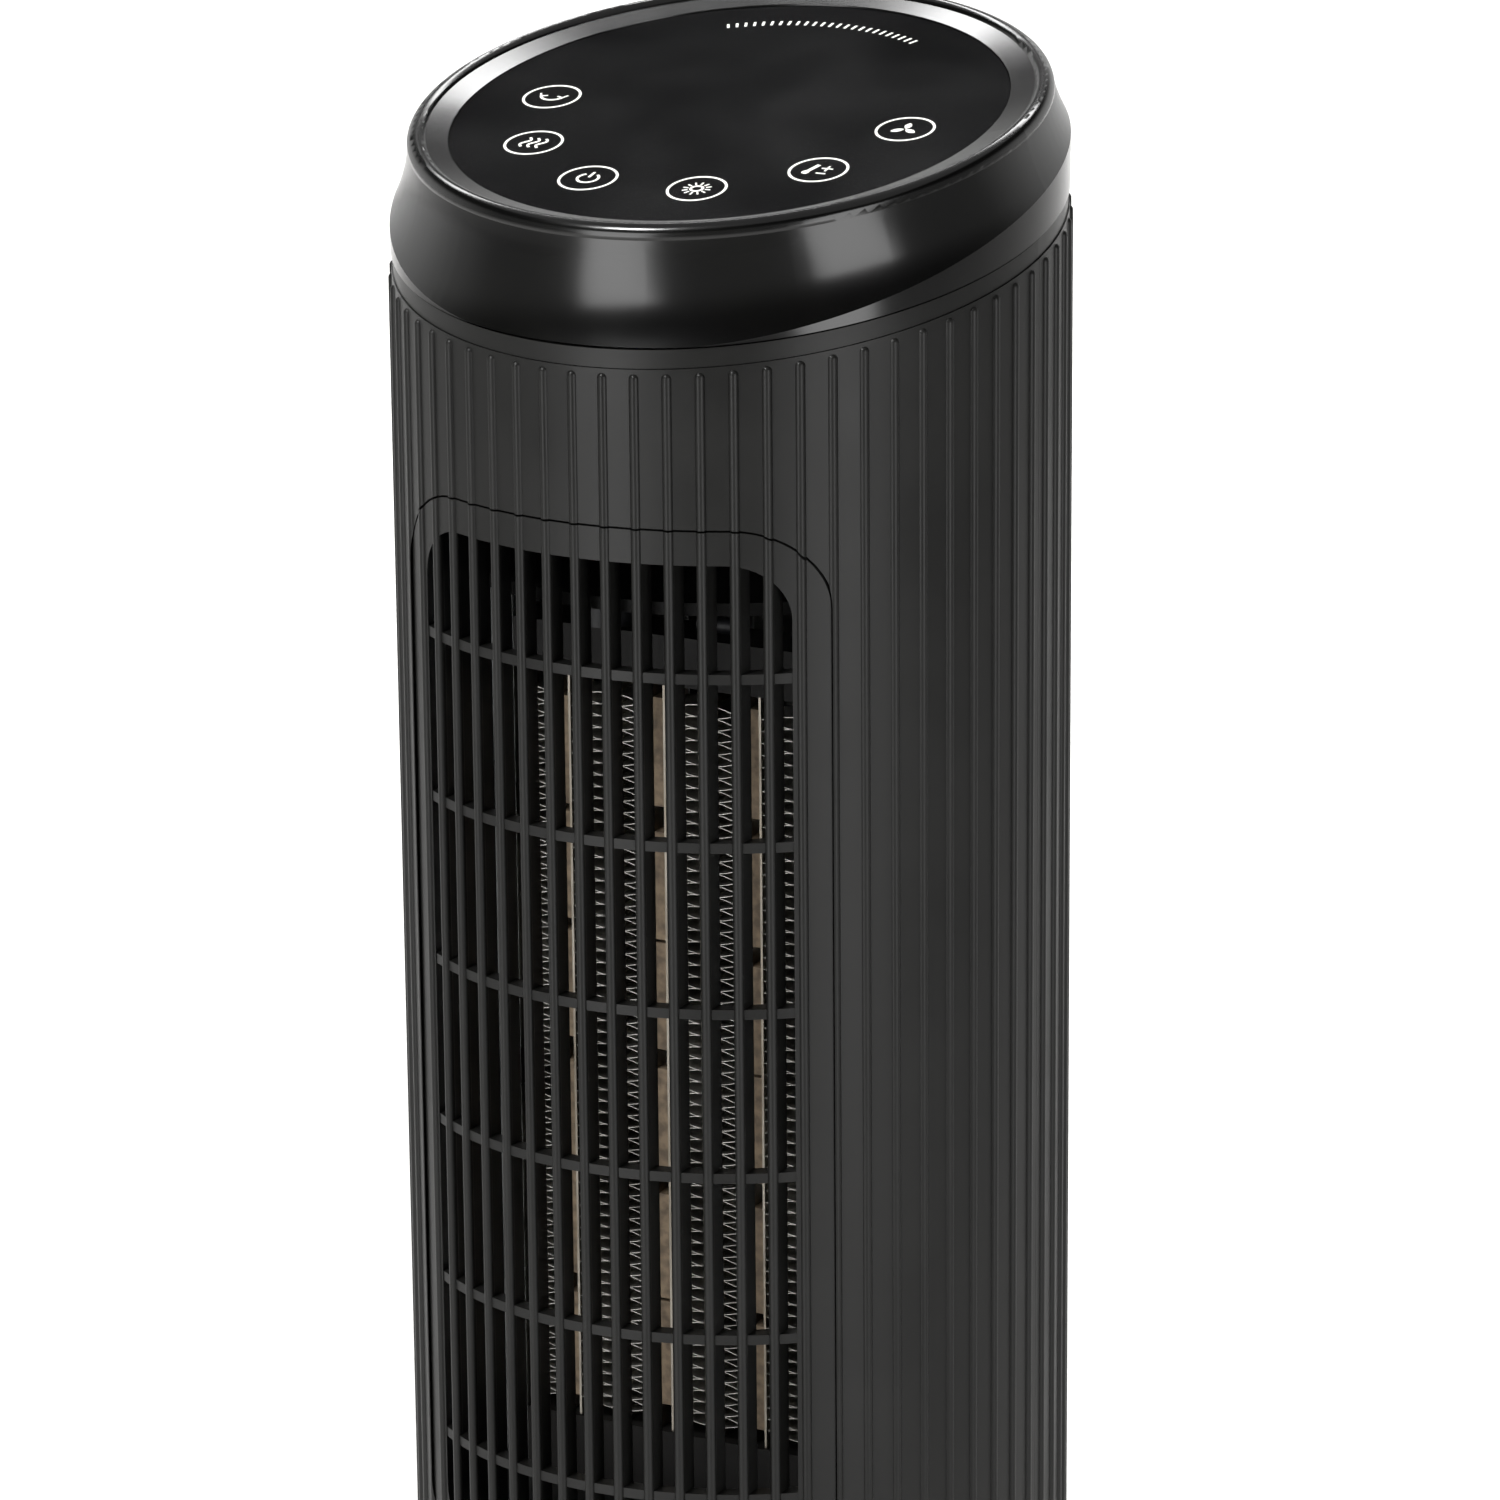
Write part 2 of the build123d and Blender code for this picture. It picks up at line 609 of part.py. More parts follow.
def swivel_parts():
    gear_z0, gear_z1 = base_height + 0.02, base_height + gear_high
    gear = spur_gear(gear_teeth, gear_z0, gear_z1, 0) - tube(hub_r + 0.6, 0, 0, 60)
    gear_screws = []
    for a in gear_screw_angles():
        x, y = polar(hub_r + 6.6, a)
        gear -= rod(x, y, 1.45, gear_z0 - 1, gear_z1 + 1)
        gear -= rod(x, y, 2.7, gear_z1 - 1.8, gear_z1 + 1)
        head = Pos(x, y, gear_z1 - 1.8 + seat_gap) * Rot(180, 0, 0) * screw(1.2, 15, 2.5, 1.5)
        gear_screws.append(head)
    keep("swivel_gear", gear)
    keep("gear_screws", *gear_screws)

    floor_z1 = tower_z0 + floor_thick
    floor = turned([(hub_in_r, retainer_z1), (hub_r, retainer_z1), (hub_r, pocket_ceiling),
                    (pocket_r, pocket_ceiling), (pocket_r, tower_z0), (body_r - 0.8, tower_z0),
                    (body_r, tower_z0 + 0.8), (body_r, floor_z1),
                    (shell_in_r - fit_gap, floor_z1), (shell_in_r - fit_gap, floor_z1 + 4),
                    (shell_in_r - fit_gap - 2, floor_z1 + 4), (shell_in_r - fit_gap - 2, floor_z1),
                    (pocket_r + floor_thick, floor_z1), (pocket_r + floor_thick, pocket_top_z),
                    (hub_in_r, pocket_top_z)])
    floor_screws = []
    for x, y in corner_posts():
        floor -= rod(x, y, 4.5, floor_z1, floor_z1 + 8)
        floor -= rod(x, y, 1.75, tower_z0 - 1, floor_z1 + 1)
        floor -= rod(x, y, 3.4, tower_z0 - 1, tower_z0 + 1.6)
        floor_screws.append(Pos(x, y, tower_z0 + 1.6 - seat_gap) * screw(1.45, 12, 3.1, 1.4))
    floor -= rod(0, pinion_y, drive_shaft_r + 0.4, pocket_ceiling - 1, pocket_top_z + 1)
    retainer = tube(hub_r + 6, hub_in_r - 1.5, retainer_z1 - 3, retainer_z1 - 0.02)
    retainer_screws = []
    for a in (90, 210, 330):
        x, y = polar(hub_r - hub_wall / 2, a)
        floor -= rod(x, y, 1.0 + screw_play / 2, retainer_z1 - 1, retainer_z1 + 9)
        retainer -= rod(x, y, 1.1, retainer_z1 - 4, retainer_z1 + 1)
        retainer_screws.append(Pos(x, y, retainer_z1 - 3 - 0.05) * screw(1.0, 10, 1.9, 1.2))
    keep("bottom_cover", floor)
    keep("floor_screws", *floor_screws)
    keep("hub_retainer", retainer)
    keep("retainer_screws", *retainer_screws)

    pinion = spur_gear(pinion_teeth, gear_z0 + 0.8, gear_z1 + 0.8, 180.0 / pinion_teeth)
    pinion -= tube(drive_shaft_r + 0.02, 0, 0, 60)
    keep("drive_pinion", Pos(0, pinion_y, 0) * pinion)
    keep("drive_shaft", rod(0, pinion_y, drive_shaft_r, gear_z0 + 0.9, pocket_top_z + osc_motor_high - 6))
    case = tube(osc_motor_r, 0, pocket_top_z + 0.02, pocket_top_z + osc_motor_high)
    case = fillet(case.edges().group_by(Axis.Z)[-1], 1.5)
    for side in (-1, 1):
        ear = block(side * 29 - 5, side * 29 + 5, -5, 5, pocket_top_z + 0.02, pocket_top_z + 1.6)
        case = case + ear - rod(side * 30, 0, 1.6, pocket_top_z - 1, pocket_top_z + 3)
    case -= rod(0, 0, drive_shaft_r + shaft_play, pocket_top_z - 1, pocket_top_z + osc_motor_high - 5)
    keep("oscillation_motor", Pos(0, pinion_y, 0) * case)


# ---------------------------------------------------------------- heater
def fin_strip(x_mid):
    """Folded strip: a straight-sided zigzag up the module, as wide as one fin."""
    fold = fin_pitch / 2
    folds = int(heater_height / fold) - 1
    # the metal's width along X gives its true thickness square to the nearly level runs
    across = fin_metal * fin_width / fold
    amp = (fin_width - across) / 2 - 0.05
    z_start = heater_z0 + (heater_height - folds * fold) / 2
    left = [(x_mid - across / 2 + amp * (-1) ** k, z_start + k * fold) for k in range(folds + 1)]
    line = left + [(x + across, z) for x, z in reversed(left)]
    face = Plane.XZ * make_face(Polyline(*line, close=True))
    return Pos(0, heater_front_y + heater_depth, 0) * extrude(face, heater_depth)


def heater():
    fins, stones, strips = [], [], []
    y0, y1 = heater_front_y, heater_front_y + heater_depth
    for m in range(module_count):
        x = (m - (module_count - 1) / 2) * module_pitch
        gap = (heater_height - stones_per_column * stone_length) / (stones_per_column + 1)
        for k in range(stones_per_column):
            # stones are laid by hand, so their gaps are uneven
            shift = gap * 0.45 * math.sin(2.3 * k + 1.7 * m)
            z = heater_z0 + gap + k * (stone_length + gap) + shift
            half = stone_width / 2 - 0.03
            stones.append(block(x - half, x + half, y0 + 0.6, y1 - 1, z, z + stone_length))
        for side in (-1, 1):
            inner = x + side * (stone_width / 2 + strip_thick / 2)
            outer = x + side * (stone_width / 2 + strip_thick * 1.5 + fin_width)
            for mid in (inner, outer):
                half = strip_thick / 2 - 0.02
                strips.append(block(mid - half, mid + half, y0, y1, heater_z0 - 4, heater_z1 + 4))
            fins.append(fin_strip(x + side * (stone_width / 2 + strip_thick + fin_width / 2)))
    keep("heater_fins", *fins)
    keep("ptc_stones", *stones)
    keep("electrode_strips", *strips)
    rails = []
    for side in (-1, 1):
        x = side * (rail_x + rail_thick / 2)
        web = block(x - rail_thick / 2, x + rail_thick / 2, y0 - 1, y1 + 1, duct_z0 + 0.05, duct_z1 - 0.05)
        foot = block(*sorted((x, x + side * 5)), y0 - 1, y0 + 0.5, duct_z0 + 0.05, duct_z1 - 0.05)
        rails.append(web + foot)
    keep("heater_side_rails", *rails)
    half = rail_x - 0.1
    lower = block(-half, half, y0 - 1, y1 + 1, duct_z0 + 0.05, heater_z0 - 1.0)
    upper = block(-half, half, y0 - 1, y1 + 1, heater_z1 + 1.0, heater_z1 + 13)
    for strip in strips:
        box = strip.bounding_box()
        slot = block(box.min.X - 0.1, box.max.X + 0.1, y0 - 0.1, y1 + 0.1, heater_z0 - 4.1, heater_z1 + 4.1)
        lower -= slot
        upper -= slot
    keep("heater_frame_bottom", lower)
    keep("heater_frame_top", upper)
    top_z = heater_z1 + 13
    mid_y = (y0 + y1) / 2
    cutout = rod(-16, mid_y, 8, top_z + 0.05, top_z + 5) + rod(-16, mid_y, 5.2, top_z + 4, top_z + 8)
    keep("thermal_cutout", cutout)
    fuse = Pos(14, mid_y, top_z + 2.1) * Rot(0, 90, 0) * Cylinder(2, 11)
    keep("thermal_fuse", fuse)


# ---------------------------------------------------------------- duct and blower
def duct_disc(z0, z1):
    """Plate across the shell; it clears the grille ledges and meets the walls at the sides."""
    near_r = body_r - bar_depth - 1.0 - filter_thick - 0.6
    full = tube(shell_in_r - fit_gap, 0, z0, z1)
    side_x = grille_half_w + grille_gap + 2.5 + 0.8
    plate = tube(near_r, 0, z0, z1)
    for side in (-1, 1):
        plate += full & block(*sorted((side * side_x, side * far)), -far, far, z0, z1)
    return plate


def duct():
    lower = duct_disc(duct_z0 - duct_plate, duct_z0)
    lower -= rod(0, impeller_y, blower_shaft_r + 2.5, duct_z0 - 9, duct_z0 + 1)
    upper = duct_disc(duct_z1, duct_z1 + duct_plate)
    bearing_r = 9.0
    upper -= rod(0, impeller_y, bearing_r + 0.05, duct_z1 - 1, duct_z1 + duct_plate + 1)
    keep("duct_bottom_plate", lower)
    keep("duct_top_plate", upper)
    z0, z1 = duct_z0 + 0.05, duct_z1 - 0.05
    end_x = rail_x + rail_thick / 2
    end_y = heater_front_y + heater_depth + 1.2
    reach = impeller_r + 5.5
    scroll = Spline((-reach * 0.5, impeller_y + reach * 0.9), (-reach - 3, impeller_y + 14),
                    (-reach - 6.5, impeller_y - 8), (-end_x - duct_wall, end_y))
    tongue = Spline((impeller_r + 2.6, impeller_y - 9), (impeller_r + 6, impeller_y - 19),
                    (end_x + duct_wall, end_y))
    keep("duct_scroll", extrude(Pos(0, 0, z0) * trace(scroll, duct_wall), z1 - z0))
    keep("duct_tongue", extrude(Pos(0, 0, z0) * trace(tongue, duct_wall), z1 - z0))

    rubber = tube(bearing_r, 5.6, duct_z1 + 0.02, duct_z1 + duct_plate)
    rubber += tube(bearing_r + 2, 5.6, duct_z1 + duct_plate + 0.05, duct_z1 + duct_plate + 2)
    rubber += tube(bearing_r + 0.0, 5.6, duct_z1 + duct_plate - 0.5, duct_z1 + duct_plate + 1)
    bush = tube(5.55, blower_shaft_r + shaft_play, duct_z1 + 0.5, duct_z1 + duct_plate + 2.5)
    keep("bearing_rubber", Pos(0, impeller_y, 0) * rubber)
    keep("bearing_bush", Pos(0, impeller_y, 0) * bush)


def impeller():
    """Cross-flow wheel: forward-curved blades between end discs, with discs to stiffen it."""
    discs = [impeller_z0, impeller_z1 - impeller_disc]
    span = discs[1] - discs[0]
    discs[1:1] = [impeller_z0 + span / 3, impeller_z0 + 2 * span / 3]
    inner_r = impeller_r - blade_depth - 1.5
    wheel = tube(impeller_r, 0, discs[0], discs[0] + impeller_disc)
    wheel += tube(impeller_r, 0, discs[3], discs[3] + impeller_disc)
    for z in discs[1:3]:
        wheel += tube(impeller_r, inner_r, z, z + impeller_disc)
    start, end = (impeller_r - 0.4, 0), (impeller_r - blade_depth, -2.6)
    middle = ((start[0] + end[0]) / 2, (start[1] + end[1]) / 2 + 1.4)
    blade_face = trace(ThreePointArc(start, middle, end), blade_thick)
    blade = extrude(Pos(0, 0, impeller_z0 + 0.5) * blade_face, impeller_z1 - impeller_z0 - 1)
    wheel = wheel.fuse(*[Rot(0, 0, 360 * k / impeller_blades) * blade for k in range(impeller_blades)])
    wheel = joined(wheel, [tube(9, 0, discs[0], discs[0] + 9), tube(9, 0, discs[3] - 7, discs[3] + 1)])
    wheel -= tube(blower_shaft_r + 0.02, 0, discs[0] - 1, discs[3] + 9)
    keep("impeller", Pos(0, impeller_y, 0) * wheel)
    keep("blower_shaft", rod(0, impeller_y, blower_shaft_r, motor_z0 - 2, duct_z1 + duct_plate + 1.5))


def blower_motor():
    """Shaded-pole motor hung under the duct on rubber mounts."""
    rotor_r = 14.0
    stack_z0, stack_z1 = motor_z0 + 7, motor_z1 - 7
    stator = tube(motor_r, rotor_r + 0.5, stack_z0, stack_z1)
    for k in range(4):
        stator -= rod(*polar(motor_r - 7.2, 45 + 90 * k), 5.5, stack_z0 + 4, stack_z1 - 4)
    stator = Pos(0, impeller_y, 0) * stator
    rotor = tube(rotor_r, blower_shaft_r + 0.02, stack_z0 + 1, stack_z1 - 1)
    keep("motor_stator", stator)
    keep("motor_rotor", Pos(0, impeller_y, 0) * rotor)
    bells = []
    for z_far, z_near in ((motor_z0, stack_z0 - 0.02), (motor_z1, stack_z1 + 0.02)):
        lip = 2.2 if z_far < z_near else -2.2
        low, high = sorted((z_far, z_far + lip))
        bell = tube(motor_r, blower_shaft_r + shaft_play, low, high)
        low, high = sorted((z_far, z_near))
        bell += tube(motor_r, motor_r - 2.2, low, high)
        bells.append(bell)
    top_bell = bells[1]
    mounts = []
    for k in range(3):
        x, y = polar(motor_r + 4.5, 120 * k)
        top_bell += rod(x, y, 5, motor_z1 - 2.2, motor_z1)
        top_bell -= rod(x, y, 1.6, motor_z1 - 3, motor_z1 + 1)
        mounts.append(Pos(x, y, 0) * tube(5, 1.6, motor_z1 + 0.05, duct_z0 - duct_plate - 0.05))
    keep("motor_end_bells", *[Pos(0, impeller_y, 0) * bell for bell in (bells[0], top_bell)])
    keep("motor_mounts", *[Pos(0, impeller_y, 0) * mount for mount in mounts])


# ---------------------------------------------------------------- power electronics
def power_electronics():
    """Upright power board on a bracket that stands on the floor of the tower."""
    y = -34.0
    base_z = pocket_top_z + 0.05
    bracket = block(-34, 34, y - 6, y + 6, base_z, base_z + 4)
    for side in (-1, 1):
        bracket += block(*sorted((side * 34, side * 29)), y - 4, y + 4, base_z, base_z + 30)
    bracket -= block(-32.1, 32.1, y - 0.9, y + 0.9, base_z + 4, base_z + 40)
    keep("board_bracket", bracket)
    front = y - board_thick / 2
    board = block(-32, 32, front, front + board_thick, base_z + 4.05, base_z + 96)
    keep("power_board", board)
    face = front - 0.05
    back = front + board_thick + 0.05
    low = base_z + 12
    parts = [block(-26, -8, face - 15, face, low, low + 22), block(-4, 14, face - 15, face, low, low + 22),
             block(16, 29, face - 11, face, low + 2, low + 20),
             y_rod(-16, low + 42, 8, face - 20, face), y_rod(6, low + 40, 5, face - 12, face),
             block(-28, -6, face - 16, face, low + 56, low + 76),
             block(8, 28, face - 9, face, low + 54, low + 62),
             block(10, 26, back, back + 18, low + 30, low + 60)]
    keep("power_components", *parts)
    floor_z1 = tower_z0 + floor_thick
    keep("room_sensor", rod(0, shell_in_r - 6, 2, floor_z1 + 0.05, floor_z1 + 9))


def write_all():
    os.makedirs("parts", exist_ok=True)
    for name, solids in PARTS.items():
        shape = solids[0] if len(solids) == 1 else Compound(solids)
        export_step(shape, "parts/" + name + ".step")
        print(name, len(solids), "solids", round(sum(s.volume for s in solids)), "mm3")


housings()
grilles()
collar()
top_cap()
base_parts()
swivel_parts()
heater()
duct()
impeller()
blower_motor()
power_electronics()
write_all()
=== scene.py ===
import math

import bpy
import numpy as np
from mathutils import Matrix, Vector


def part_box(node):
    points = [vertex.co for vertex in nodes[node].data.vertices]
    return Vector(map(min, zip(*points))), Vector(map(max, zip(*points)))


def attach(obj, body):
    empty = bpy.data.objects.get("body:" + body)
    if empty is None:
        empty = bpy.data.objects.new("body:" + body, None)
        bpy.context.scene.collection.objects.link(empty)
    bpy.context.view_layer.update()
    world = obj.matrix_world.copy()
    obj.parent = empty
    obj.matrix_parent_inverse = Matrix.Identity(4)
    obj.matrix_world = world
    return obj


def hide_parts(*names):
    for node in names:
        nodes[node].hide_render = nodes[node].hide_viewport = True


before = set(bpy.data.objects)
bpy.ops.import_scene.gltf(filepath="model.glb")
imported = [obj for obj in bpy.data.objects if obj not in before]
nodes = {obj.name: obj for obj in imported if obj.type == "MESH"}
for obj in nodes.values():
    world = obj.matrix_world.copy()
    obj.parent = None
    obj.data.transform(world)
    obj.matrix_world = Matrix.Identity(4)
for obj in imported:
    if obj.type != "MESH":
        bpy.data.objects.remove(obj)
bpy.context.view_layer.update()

mm = 0.001


def linearColour(hexText):
    # an sRGB hex colour as the linear RGBA that shader sockets take
    parts = [int(hexText[i:i + 2], 16) / 255 for i in (0, 2, 4)]
    return tuple(c / 12.92 if c <= 0.04045 else ((c + 0.055) / 1.055) ** 2.4 for c in parts) + (1.0,)


def addNode(tree, kind, settings=None, links=None):
    # a node with its settings, an attribute or an input's value, and its links {input: (node, output)}
    node = tree.nodes.new(kind)
    for key, value in (settings or {}).items():
        if isinstance(key, str) and hasattr(node, key):
            setattr(node, key, value)
        else:
            node.inputs[key].default_value = value
    for key, (source, output) in (links or {}).items():
        tree.links.new(source.outputs[output], node.inputs[key])
    return node


def rampNode(tree, source, output, places, colours):
    # a colour ramp between two colours, fed from one output
    ramp = addNode(tree, "ShaderNodeValToRGB", links={"Fac": (source, output)})
    for stop, at, colour in zip(ramp.color_ramp.elements, places, colours):
        stop.position = at
        stop.color = linearColour(colour)
    return ramp


# each finish: the deeper and the lighter tone of the colour, roughness from and to, grain size and
# depth in mm, stretch of the grain along x, y, z, and the shader's own constants
finishes = {
    # ABS moulded in a finely spark-eroded tool: charcoal, satin, with a tight sandy grain
    "shell_charcoal": dict(name="charcoal moulded ABS", tones=("121211", "181817"), rough=(0.36, 0.44),
                           grain=0.45, depth=0.010, ior=1.53, gloss=0.25),
    # ABS from a polished tool: deep black with long clean reflections, a touch of moulding ripple
    "gloss_black": dict(name="gloss black moulded ABS", tones=("050505", "070706"), rough=(0.17, 0.21),
                        grain=9.0, depth=0.012, ior=1.53),
    # hard-coated PMMA sheet over the touch board: glass-like, the deepest black of all
    "panel_gloss": dict(name="hard-coated black acrylic", tones=("060607", "080809"), rough=(0.10, 0.13),
                        grain=14.0, depth=0.006, ior=1.49, coat=0.25),
    # glass-filled PBT and polypropylene inside: dull dark grey with a coarse mould texture
    "dark_plastic": dict(name="dark glass-filled PBT", tones=("0C0C0C", "131312"), rough=(0.50, 0.62),
                         grain=0.9, depth=0.020, ior=1.52, gloss=0.3),
    # moulded polypropylene netting: matte black threads with a slight sheen
    "filter_mesh": dict(name="black polypropylene net", tones=("0B0B0B", "161616"), rough=(0.45, 0.60),
                        grain=0.5, depth=0.012, ior=1.49),
    # acetal (POM) gears: milky white, waxy and slightly see-through at the edges
    "white_acetal": dict(name="white acetal", tones=("DAD8CF", "E8E6DF"), rough=(0.34, 0.42),
                         grain=1.2, depth=0.008, ior=1.48, subsurface=0.15),
    # heat-proof PPS frame round the heater: black-brown, dry and fibrous
    "heater_frame": dict(name="glass-filled PPS", tones=("0D0C0B", "151311"), rough=(0.55, 0.70),
                         grain=0.8, depth=0.030, ior=1.6, gloss=0.3),
    # thermoplastic rubber feet, mounts and gland: black, dull and dusty looking
    "soft_rubber": dict(name="black thermoplastic rubber", tones=("101010", "1A1A19"), rough=(0.72, 0.86),
                        grain=0.7, depth=0.030, ior=1.5),
    # mineral-filled polypropylene blower wheel: light grey, satin
    "impeller_plastic": dict(name="filled grey polypropylene", tones=("5A5B5A", "6A6B69"),
                             rough=(0.40, 0.50), grain=0.8, depth=0.010, ior=1.49),
    # corrugated aluminium foil: bright mill finish with rolling lines along its width
    "fin_aluminium": dict(name="mill-finish aluminium foil", tones=("D4D2CC", "F0EEE9"), rough=(0.30, 0.42),
                          grain=0.5, depth=0.012, metallic=1.0, stretch=(6, 1, 1)),
    # stainless strip electrodes beside the stones: rolled, a little heat-tinted
    "strip_steel": dict(name="rolled stainless strip", tones=("A79F90", "C8C2B6"), rough=(0.28, 0.40),
                        grain=0.6, depth=0.008, metallic=1.0, stretch=(1, 1, 0.1)),
    # fired barium-titanate stones: tan, chalky, with fine dark specks
    "ptc_ceramic": dict(name="fired PTC ceramic", tones=("6E5F4E", "9B8870"), rough=(0.70, 0.85),
                        grain=1.1, depth=0.040, ior=1.6, mottle=3.0),
    # zinc-plated steel screws and cans: bluish silver, soft brushed shine
    "plated_steel": dict(name="zinc-plated steel", tones=("A9ACAD", "C9CBCB"), rough=(0.26, 0.38),
                         grain=0.7, depth=0.006, metallic=1.0),
    # oil-filled sintered bronze bush: brown-gold with open pores
    "sintered_bronze": dict(name="sintered bronze", tones=("7E5C35", "A07B4C"), rough=(0.42, 0.55),
                            grain=0.35, depth=0.030, metallic=1.0),
    # glass-epoxy circuit board under green solder resist: smooth, weave just showing
    "board_green": dict(name="green solder-resist FR4", tones=("0C3B22", "14512F"), rough=(0.28, 0.36),
                        grain=0.6, depth=0.006, ior=1.55, coat=0.3),
    # moulded epoxy chips and film capacitors: dark, fine matte grain
    "board_parts": dict(name="moulded epoxy parts", tones=("17181A", "26272A"), rough=(0.42, 0.55),
                        grain=0.4, depth=0.010, ior=1.55),
    # drawn spring wire: grey steel with fine drawing lines
    "spring_steel": dict(name="drawn spring steel", tones=("8D8F90", "B4B5B5"), rough=(0.28, 0.40),
                         grain=0.4, depth=0.006, metallic=1.0, stretch=(1, 1, 0.2)),
    # screen-printed ink: flat warm white, with a painted glow (emission) that keeps it bright under any
    # light
    "printed_white": dict(name="white screen-printed ink", tones=("E4E2DC", "F2F1EC"), rough=(0.45, 0.55),
                          grain=0.3, depth=0.004, ior=1.5, glow=0.55),
}


def makeFinish(name, tones, rough, grain, depth, metallic=0.0, ior=None, coat=0.0, subsurface=0.0,
               gloss=0.5, glow=0.0, mottle=30.0, stretch=(1, 1, 1)):
    # colour and roughness drift over a broad noise, and a fine noise of the grain's size gives the bump
    material = bpy.data.materials.new(name)
    material.use_nodes = True
    tree = material.node_tree
    tree.nodes.clear()
    place = addNode(tree, "ShaderNodeTexCoord")
    broad = addNode(tree, "ShaderNodeTexNoise", {"Scale": 1000 / mottle, "Detail": 3.0},
                    {"Vector": (place, "Object")})
    ramp = rampNode(tree, broad, "Fac", (0.35, 0.65), tones)
    drift = addNode(tree, "ShaderNodeMapRange", {"From Min": 0.3, "From Max": 0.7,
                    "To Min": rough[0], "To Max": rough[1]}, {"Value": (broad, "Fac")})
    turned = addNode(tree, "ShaderNodeMapping", {"Scale": stretch}, {"Vector": (place, "Object")})
    fine = addNode(tree, "ShaderNodeTexNoise", {"Scale": 1000 / grain, "Detail": 2.0},
                   {"Vector": (turned, "Vector")})
    bump = addNode(tree, "ShaderNodeBump", {"Strength": 0.6, "Distance": depth * mm},
                   {"Height": (fine, "Fac")})
    constants = {"Metallic": metallic, "Coat Weight": coat, "Subsurface Weight": subsurface,
                 "Specular IOR Level": gloss}
    if ior:
        constants["IOR"] = ior
    if subsurface:
        constants["Subsurface Scale"] = 0.5 * mm
    # painted glow: the finish emits its own lighter tone, so it shows bright whatever light falls on it
    if glow:
        constants["Emission Color"] = linearColour(tones[1])
        constants["Emission Strength"] = glow
    shader = addNode(tree, "ShaderNodeBsdfPrincipled", constants,
                     {"Base Color": (ramp, "Color"), "Roughness": (drift, "Result"),
                      "Normal": (bump, "Normal")})
    addNode(tree, "ShaderNodeOutputMaterial", links={"Surface": (shader, "BSDF")})
    return material


materials = {slot: makeFinish(**values) for slot, values in finishes.items()}
for node in nodes.values():
    for materialSlot in node.material_slots:
        materialSlot.material = materials[materialSlot.material.name.split(".")[0]]
print("finishes made:", len(materials))


def meshObject(name, verts, faces, material, body, smooth=True):
    # an object at the origin whose place is in its vertices, given in mm
    mesh = bpy.data.meshes.new(name)
    mesh.from_pydata((np.asarray(verts) * mm).tolist(), [], [list(map(int, f)) for f in faces])
    mesh.polygons.foreach_set("use_smooth", np.full(len(mesh.polygons), smooth))
    mesh.materials.append(material)
    mesh.update()
    piece = bpy.data.objects.new(name, mesh)
    bpy.context.scene.collection.objects.link(piece)
    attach(piece, body)
    return piece


def gridFaces(rows, columns, wrapRows, wrapColumns, start=0):
    # quads between neighbours of a rows x columns grid; a wrapped side joins its last line to its first
    i = np.arange(rows if wrapRows else rows - 1)
    j = np.arange(columns if wrapColumns else columns - 1)
    i, j = np.meshgrid(i, j, indexing="ij")
    below, beside = (i + 1) % rows, (j + 1) % columns
    quads = np.stack([i * columns + j, i * columns + beside, below * columns + beside,
                      below * columns + j], axis=-1)
    return quads.reshape(-1, 4) + start


# white print on the touch panel, sizes in mm and degrees
printing = {
    "keyRing": 46.0,          # radius of the circle the keys stand on
    "keyPitch": 35.3,         # degrees from key to key
    "ringRadius": 6.7,
    "lineWidth": 0.62,
    "inkThick": 0.06,
    "inkSunk": 0.05,          # how far the ink reaches into the panel's face
    "tickRadius": 54.0,       # arc of plain ticks at the rear
    "tickHalfAngle": 27.0,
    "tickCount": 25,
    "tickHeight": 2.3,
    "panelThick": 2.4,
}

panelLow, panelHigh = (np.array(corner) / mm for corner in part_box("control_panel"))
panelRadius = panelHigh[0]
slope = (panelHigh[2] - panelLow[2] - printing["panelThick"]) / (2 * panelRadius)
panelZ = panelHigh[2] - slope * panelRadius      # height of the panel's face at the axis


def flatBand(points, width, levels, place, closed=False):
    # a band of one flat path (u, v): its points shifted half a width to each side along the path's
    # normal, at two levels; place turns u, v and the level into x, y, z
    points = np.asarray(points, float)
    if closed:
        along = np.roll(points, -1, 0) - np.roll(points, 1, 0)
    else:
        along = np.gradient(points, axis=0)
    along /= np.linalg.norm(along, axis=1)[:, None]
    side = np.stack([-along[:, 1], along[:, 0]], 1) * (np.broadcast_to(width, len(points))[:, None] / 2)
    left, right = points + side, points - side
    foot, top = levels
    ring = [(left, foot), (right, foot), (right, top), (left, top)]
    verts = np.stack([place(p[:, 0], p[:, 1], np.full(len(p), h)) for p, h in ring], 1)
    count = len(points)
    faces = gridFaces(count, 4, closed, True).tolist()
    if not closed:
        faces += [[3, 2, 1, 0], [4 * (count - 1) + k for k in range(4)]]
    return outward(verts.reshape(-1, 3), faces)


def outward(verts, faces):
    # the sum of a . (b x c) over the quads' two triangles is six times the volume inside: where it is
    # negative, every face is turned over
    quads = np.array(faces)
    a, b, c, d = (verts[quads[:, k]] for k in range(4))
    volume = np.sum(a * np.cross(b, c)) + np.sum(a * np.cross(c, d))
    return verts, faces if volume > 0 else [face[::-1] for face in faces]


def gathered(parts):
    # several (verts, faces) as one
    allVerts, allFaces, start = [], [], 0
    for verts, faces in parts:
        allVerts.append(verts)
        allFaces += [[start + k for k in face] for face in faces]
        start += len(verts)
    return np.concatenate(allVerts), allFaces


def onPanel(u, v, level):
    # u to the right and v to the rear; the height follows the panel's slope
    return np.stack([u, v, panelZ + slope * v + level], -1)


def inkStroke(points, width, closed=False):
    levels = (-printing["inkSunk"], printing["inkThick"])
    return flatBand(points, width, levels, onPanel, closed)


